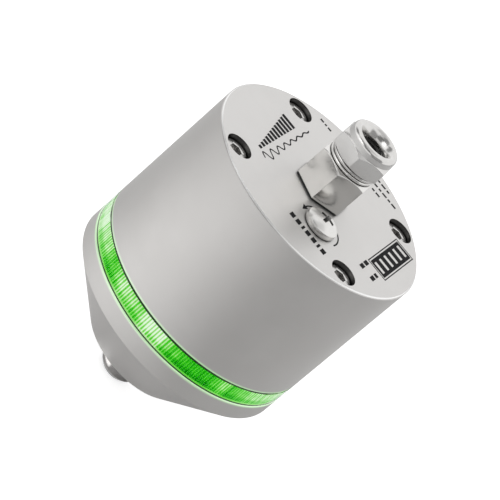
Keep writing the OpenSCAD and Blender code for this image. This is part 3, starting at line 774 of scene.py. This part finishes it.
# mounting stud with its thread
stud = {
    "radius": 4 * mm,
    "crestRadius": 3.97 * mm,
    "rootRadius": 3.3 * mm,
    "coreRadius": 3.1 * mm,
    "boreRadius": 2.7 * mm,  # the thread is wound as a tube round the core
    "pitch": 1.25 * mm,
    "tooth": [0.22, 0.54, 0.68],  # foot of the flank and both ends of the crest, in shares of the pitch
    "length": 7.5 * mm,
    "inside": 6 * mm,
    "neckRadius": 3.4 * mm,
    "neck": 0.8 * mm,  # undercut above the mounting face
    "chamfer": 1 * mm,
    "soft": 0.4 * mm,
    "plain": 3 * mm,  # smooth end below the thread
    "runOut": 0.9 * mm,  # slope from the smooth end into the thread
    "key": 4 * mm,
    "keyDepth": 4 * mm,
}


def windThread(name):
    # one tooth wound up the axis, cut off level and hollow inside
    s = stud
    foot, crestLow, crestHigh = s["tooth"]
    tooth = [(s["rootRadius"], 0), (s["rootRadius"], foot), (s["crestRadius"], crestLow),
             (s["crestRadius"], crestHigh), (s["rootRadius"], 1)]
    start = -s["length"] - s["pitch"]
    piece = drawLines(name, [Vector((radius, 0, start + share * s["pitch"])) for radius, share in tooth])
    bpy.ops.object.mode_set(mode="OBJECT")
    wind = piece.modifiers.new("wind", "SCREW")
    wind.screw_offset = s["pitch"]
    wind.iterations = math.ceil(s["length"] / s["pitch"]) + 3
    wind.steps = 48
    wind.render_steps = 48
    applyModifier(piece, wind)
    bpy.ops.object.mode_set(mode="EDIT")
    tidyMesh()  # joins each turn to the next
    for height, side in ((s["plain"] / 2 - s["length"], -1), (0, 1)):
        bpy.ops.mesh.select_all(action="SELECT")
        bpy.ops.mesh.bisect(
            plane_co=(0, 0, height), plane_no=(0, 0, side), use_fill=True, clear_outer=True,
            threshold=0.0001 * mm)
    tidyMesh()
    bpy.ops.object.mode_set(mode="OBJECT")
    bpy.ops.object.select_all(action="DESELECT")
    bpy.ops.mesh.primitive_cylinder_add(vertices=48, radius=s["boreRadius"], depth=4 * s["length"])
    carve(piece, bpy.context.object)
    return piece


def makeStud():
    s = stud
    low = -s["length"]
    tip = s["soft"]
    ease = 0.41 * tip  # reach of the rounding along each flank
    corner = s["radius"] - s["chamfer"]
    outline = [(0, low)] + arc(corner - ease, low + tip, tip, -90, -45, 4)
    outline += arc(s["radius"] - tip, low + s["chamfer"] + ease, tip, -45, 0, 4)
    outline += [
        (s["radius"], low + s["plain"]), (s["coreRadius"], low + s["plain"] + s["runOut"]),
        (s["coreRadius"], -0.5 * s["neck"]), (s["neckRadius"], -0.5 * s["neck"]),
        (s["neckRadius"], s["neck"]), (s["radius"], s["neck"]),
        (s["radius"], s["inside"] - s["chamfer"]), (corner, s["inside"]), (0, s["inside"])]
    piece = windThread("threadedStud")
    core = turned("studCore", outline, 96)
    carve(core, hexBar(s["key"], 2 * low, low + s["keyDepth"]))
    carve(piece, core, "UNION")
    return settle(piece, "stud", "bright_steel", "mounting_stud")


makeStud()
print("stud threaded")


# light ring: a fluted core that glows, behind a thin clear wall
ring = {
    "radius": 25 * mm,
    "wall": 0.07 * mm,
    "gap": 0.01 * mm,
    "edge": 0.04 * mm,
    "flute": 0.16 * mm,
    "bore": 18.6 * mm,
    "boreFlute": 0.3 * mm,
    "hole": 1.7 * mm,  # for the cover screws
}


def flutedLoop(radius, depth):
    # a round with every second point moved in or out
    bpy.ops.mesh.primitive_circle_add(vertices=2 * glowLook["flutes"], radius=radius, location=(0, 0, 0))
    mesh = bpy.context.object.data
    bpy.ops.object.mode_set(mode="OBJECT")
    chosen = [vertex.index for vertex in mesh.vertices if vertex.select]
    for index in chosen:
        mesh.vertices[index].select = index % 2 == 1
    bpy.ops.object.mode_set(mode="EDIT")
    share = 1 + depth / radius
    bpy.ops.transform.resize(value=(share, share, 1), center_override=(0, 0, 0))


def makeRing():
    r = ring
    low, high = [corner.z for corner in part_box("light_ring")]
    core = newPiece("ringFlutedCore")
    flutedLoop(r["radius"] - r["wall"] - r["gap"], -r["flute"])
    flutedLoop(r["bore"], r["boreFlute"])
    bpy.ops.mesh.select_all(action="SELECT")
    bpy.ops.mesh.bridge_edge_loops()
    bpy.ops.mesh.select_all(action="SELECT")
    bpy.ops.transform.translate(value=(0, 0, low))
    bpy.ops.mesh.extrude_region_move(TRANSFORM_OT_translate={"value": (0, 0, high - low)})
    tidyMesh()
    bpy.ops.object.mode_set(mode="OBJECT")
    for place in screwPlaces():
        middle = place + Vector((0, 0, low))
        bpy.ops.mesh.primitive_cylinder_add(vertices=32, radius=r["hole"], depth=high, location=middle)
        carve(core, bpy.context.object)
    settle(core, "clear_green", "clear_green", "light_ring")

    inner = r["radius"] - r["wall"]
    outline = [(inner, low), (r["radius"] - r["edge"], low), (r["radius"], low + r["edge"]),
               (r["radius"], high - r["edge"]), (r["radius"] - r["edge"], high), (inner, high), (inner, low)]
    wall = turned("ringClearWall", outline, 192)
    settle(wall, "clear", "clear_green", "light_ring")


makeRing()
print("light ring made")


# print on the cover face, all of it plain shapes
mark = {
    "lift": 0.02 * mm,
    "line": 0.30,  # from here in mm, X and Y of the frame
    "bars": {
        "count": 12, "base": -12.55, "start": -8.9, "pitch": 1.46, "width": 0.95, "least": 0.8, "most": 3.5},
    "wave": {
        "middle": -10.7, "start": -9.8, "end": 11.8, "swing": 1.25, "cycles": 7, "fade": 2.0, "steps": 140},
    "arrow": {"x": 5.5, "y": -10.2, "radius": 4.5, "start": -12, "end": 172, "head": 0.75},
    "plate": {
        "x": 18.25, "y": 3.85, "width": 5.1, "length": 15.2, "windows": 6,
        "frame": 0.22, "gap": 0.28, "bar": 0.72},
    "rows": [
        {"x": 0.4, "y": -16.0, "along": (1, 0), "blocks": (1.1, 1.1, 0.5, 1.1, 1.1, 0.5, 1.1), "tall": 1.5,
         "gap": 0.55},
        {"x": -11.5, "y": 19.5, "along": (1, 0), "blocks": (0.9, 0.5, 0.9), "tall": 0.6, "gap": 0.4},
        {"x": 4.5, "y": 21.9, "along": (1, 0), "blocks": (0.7, 1.2, 0.7), "tall": 0.6, "gap": 0.4},
        {"x": 4.4, "y": 19.7, "along": (1, 0), "blocks": (1.2, 0.7, 1.2, 0.7, 1.2), "tall": 0.6, "gap": 0.4},
        {"x": 5.2, "y": 17.5, "along": (1, 0), "blocks": (0.7, 1.1), "tall": 0.6, "gap": 0.4},
        {"x": 16.0, "y": -7.9, "along": (0, 1), "blocks": (1.5, 1.5), "tall": 1.0, "gap": 0.5},
        {"x": 19.0, "y": -7.9, "along": (0, 1), "blocks": (1.5, 1.0), "tall": 1.0, "gap": 0.5},
    ],
}


def flat(x, y):
    return Vector((x, y, 0)) * mm + Vector((0, 0, coverZ))


def patch(x, y, width, length):
    bpy.ops.mesh.primitive_plane_add(size=mm, location=flat(x, y))
    bpy.ops.transform.resize(value=(width, length, 1), center_override=flat(x, y))


def printOff(piece):
    bpy.ops.mesh.select_all(action="SELECT")
    bpy.ops.mesh.extrude_region_move(TRANSFORM_OT_translate={"value": (0, 0, mark["lift"])})
    tidyMesh()
    bpy.ops.object.mode_set(mode="OBJECT")
    return settle(piece, "ink", "black_plastic")


def printBars():
    b = mark["bars"]
    piece = newPiece("levelBars")
    for index in range(b["count"]):
        tall = b["least"] + (b["most"] - b["least"]) * index / (b["count"] - 1)
        patch(b["base"] - tall / 2, b["start"] + index * b["pitch"] + b["width"] / 2, tall, b["width"])
    return printOff(piece)


def printWave():
    w = mark["wave"]
    middle = []
    for step in range(w["steps"] + 1):
        share = step / w["steps"]
        swing = w["swing"] * math.exp(-w["fade"] * share) * math.sin(2 * math.pi * w["cycles"] * share)
        middle.append(flat(w["middle"] - swing, w["start"] + share * (w["end"] - w["start"])))
    sides = [[], []]
    for index, point in enumerate(middle):
        run = middle[min(index + 1, w["steps"])] - middle[max(index - 1, 0)]
        aside = Vector((run.y, -run.x, 0)).normalized() * mark["line"] * mm / 2
        sides[0].append(point + aside)
        sides[1].append(point - aside)
    piece = drawLines("waveTrace", *sides)
    bpy.ops.mesh.bridge_edge_loops()
    return printOff(piece)


def printArrow():
    a = mark["arrow"]
    middle = flat(a["x"], a["y"])
    bend = []
    for side in (-0.5, 0.5):
        curve = arc(a["x"], a["y"], a["radius"] + side * mark["line"], a["start"], a["end"], 60)
        bend.append([flat(x, y) for x, y in curve])
    piece = drawLines("turnArrow", *bend)
    bpy.ops.mesh.bridge_edge_loops()
    tip = middle + Vector((-a["radius"], 0, 0)) * mm
    bpy.ops.mesh.primitive_circle_add(vertices=3, radius=a["head"] * mm, fill_type="NGON", location=tip)
    bpy.ops.transform.rotate(value=math.pi, orient_axis="Z", center_override=tip)
    bpy.ops.transform.resize(value=(1, 1.5, 1), center_override=tip)
    return printOff(piece)


def printPlate():
    p = mark["plate"]
    piece = newPiece("platePrint")
    patch(p["x"], p["y"], p["width"], p["length"])
    bpy.ops.mesh.inset(thickness=p["frame"] * mm)
    bpy.ops.mesh.delete(type="FACE")
    middle = flat(p["x"], p["y"])
    inner = [size - 2 * p["frame"] - 2 * p["gap"] for size in (p["width"], p["length"])]
    bpy.ops.mesh.primitive_grid_add(x_subdivisions=1, y_subdivisions=p["windows"], size=mm, location=middle)
    bpy.ops.transform.resize(value=(*inner, 1), center_override=middle)
    bpy.ops.mesh.inset(thickness=p["bar"] * mm, use_individual=True)
    bpy.ops.mesh.delete(type="FACE")
    return printOff(piece)


def printRows():
    piece = newPiece("legendRows")
    for line in mark["rows"]:
        at = 0
        for block in line["blocks"]:
            right, back = line["along"]
            middle = at + block / 2
            size = (block, line["tall"]) if right else (line["tall"], block)
            patch(line["x"] + right * middle, line["y"] + back * middle, *size)
            at += block + line["gap"]
    return printOff(piece)


printBars()
printWave()
printArrow()
printPlate()
printRows()
print("cover face printed")


# studio: white all round, with soft light from behind and from the left
studio = {
    "ambient": 0.55,  # light from all round, which itself shows as full white
    "lamps": [
        {"name": "rearSoftbox", "place": (-0.05, 0.62, 0.46), "size": 0.62, "power": 1.33},
        {"name": "leftSoftbox", "place": (-0.60, -0.35, 0.55), "size": 0.50, "power": 0.90},
    ],
    # seen only in the metal
    "cards": [
        {"name": "rightCard", "place": (0.383, -0.249, 0.255), "size": 0.40, "tone": 0.36},
        {"name": "frontCard", "place": (0.0, -0.42, 0.42), "size": 0.34, "tone": 0.20},
        {"name": "windowCard", "place": (-0.44, -0.222, 0.294), "size": 0.30, "tone": 1.2},
        {"name": "leftCard", "place": (-0.50, 0.075, 0.395), "size": 0.32, "tone": 0.28},
        {"name": "cornerCard", "place": (-0.25, -0.235, 0.55), "size": 0.38, "tone": 0.28},
        {"name": "topCard", "place": (0.05, -0.05, 0.75), "size": 0.45, "tone": 0.65},
        {"name": "glintCard", "place": (-0.248, -0.266, 0.316), "size": 0.16, "tone": 2.2},
        {"name": "sideCard", "place": (0.545, -0.382, 0.27), "size": 0.75, "tone": 0.15},
    ],
}


def makeWorld():
    world = bpy.data.worlds.new("studioWhite")
    paint = Paint(world)
    camera, glossy, clear = paint.rays()
    seen = camera + glossy + clear
    tone = seen.reckon("MINIMUM", seen, 1) * (1 - studio["ambient"]) + studio["ambient"]
    paint.surface(paint.node("ShaderNodeBackground", {}, {"Color": tone, "Strength": 1}))
    bpy.context.scene.world = world


# white floor, and the sheen of it that shows in the metal: angles in degrees round the object
floorLook = {
    "size": 4,
    "drop": 0.02 * mm,  # keeps the floor clear of the stud's end
    "tone": 0.71,
    "glow": 0.78,
    "sheens": [(-131, 0.58), (105, 0.14), (35, 0.08)],  # angle and strength, away from the object
    "fade": 0.6,
    "fadeFrom": 120 * mm,
    "fadeTo": 170 * mm,
    "near": 0.18,  # sheen under the object
    "nearFrom": 30 * mm,
    "nearTo": 70 * mm,
    "dim": 0.85,  # side of the foot that gets less of it
    "dimAngle": 10,
    "dimFrom": 4 * mm,
    "dimTo": 22 * mm,
    "litAngle": -150,  # side of the stud that gets more of it
    "litFrom": 6 * mm,
    "litTo": 10 * mm,
    "spot": 0.8,  # bright round that shows in the stud's chamfer
    "spotRadius": 4.9 * mm,
    "spotEdge": 0.4 * mm,
    "glint": 1.6,  # short bright arc that shows in the stud
    "glintAngle": -137,
    "glintRadius": 7.3 * mm,
    "glintWidth": 1.0 * mm,
}


def toward(x, y, angle):
    # how far a place lies out in a direction
    turn = math.radians(angle)
    return x * math.cos(turn) + y * math.sin(turn)


def floorSheen(paint):
    f = floorLook
    x, y = paint.axes()[:2]
    away = (x * x + y * y) ** 0.5
    far = paint.limit(away, f["nearFrom"], f["nearTo"])
    lit = paint.limit(toward(x, y, f["litAngle"]) / away, -0.4, 0.6)
    lit = lit.reckon("MAXIMUM", lit, paint.limit(away, f["litFrom"], f["litTo"]))
    dim = f["dim"] * paint.limit(toward(x, y, f["dimAngle"]), f["dimFrom"], f["dimTo"])
    sheen = (1 - far) * f["near"] * lit * (1 - dim)
    fade = 1 - f["fade"] * paint.limit(away, f["fadeFrom"], f["fadeTo"])
    for angle, gain in f["sheens"]:
        side = toward(x, y, angle) / away
        sheen = sheen + far * fade * gain * side.reckon("MAXIMUM", side, 0) ** 2
    band = 1 - paint.limit(abs(away - f["glintRadius"]), 0.5 * f["glintWidth"], f["glintWidth"])
    sheen = sheen + f["glint"] * band * paint.limit(toward(x, y, f["glintAngle"]) / away, 0.80, 0.94)
    spot = 1 - paint.limit(away, f["spotRadius"] - f["spotEdge"], f["spotRadius"])
    return sheen + f["spot"] * spot


def makeFloor():
    f = floorLook
    bpy.ops.object.select_all(action="DESELECT")
    bpy.ops.mesh.primitive_plane_add(size=f["size"], location=(0, 0, floorZ - f["drop"]))
    floor = bpy.context.object
    floor.name = "studioFloor"
    paint = newPaint("studioFloor")
    camera, glossy, clear = paint.rays()
    shown = camera.reckon("MAXIMUM", camera, clear)
    floor.data.materials.append(paint.finish({
        "Base Color": [f["tone"]] * 3 + [1],
        "Roughness": 1,
        "Specular IOR Level": 0,
        "Emission Color": shown * f["glow"] + glossy * floorSheen(paint),
        "Emission Strength": 1,
    }))


def makeLamp(lamp):
    data = bpy.data.lights.new(lamp["name"], "AREA")
    data.size = lamp["size"]
    data.energy = lamp["power"]
    piece = bpy.data.objects.new(lamp["name"], data)
    bpy.context.scene.collection.objects.link(piece)
    aim = Vector((0, 0, coverZ)) - Vector(lamp["place"])
    piece.rotation_euler = aim.to_track_quat("-Z", "Y").to_euler()
    piece.location = lamp["place"]
    piece.visible_glossy = False


def makeCard(card):
    bpy.ops.object.select_all(action="DESELECT")
    aim = Vector((0, 0, coverZ)) - Vector(card["place"])
    turn = aim.to_track_quat("-Z", "Y").to_euler()
    bpy.ops.mesh.primitive_plane_add(size=card["size"], location=card["place"], rotation=turn)
    piece = bpy.context.object
    piece.name = card["name"]
    paint = newPaint(card["name"])
    shade = paint.node("ShaderNodeEmission", {}, {"Color": (1, 1, 1, 1), "Strength": card["tone"]})
    piece.data.materials.append(paint.surface(shade))
    piece.visible_camera = False
    piece.visible_diffuse = False
    piece.visible_shadow = False
    piece.visible_transmission = False


makeWorld()
makeFloor()
for lamp in studio["lamps"]:
    makeLamp(lamp)
for card in studio["cards"]:
    makeCard(card)
print("studio lit")
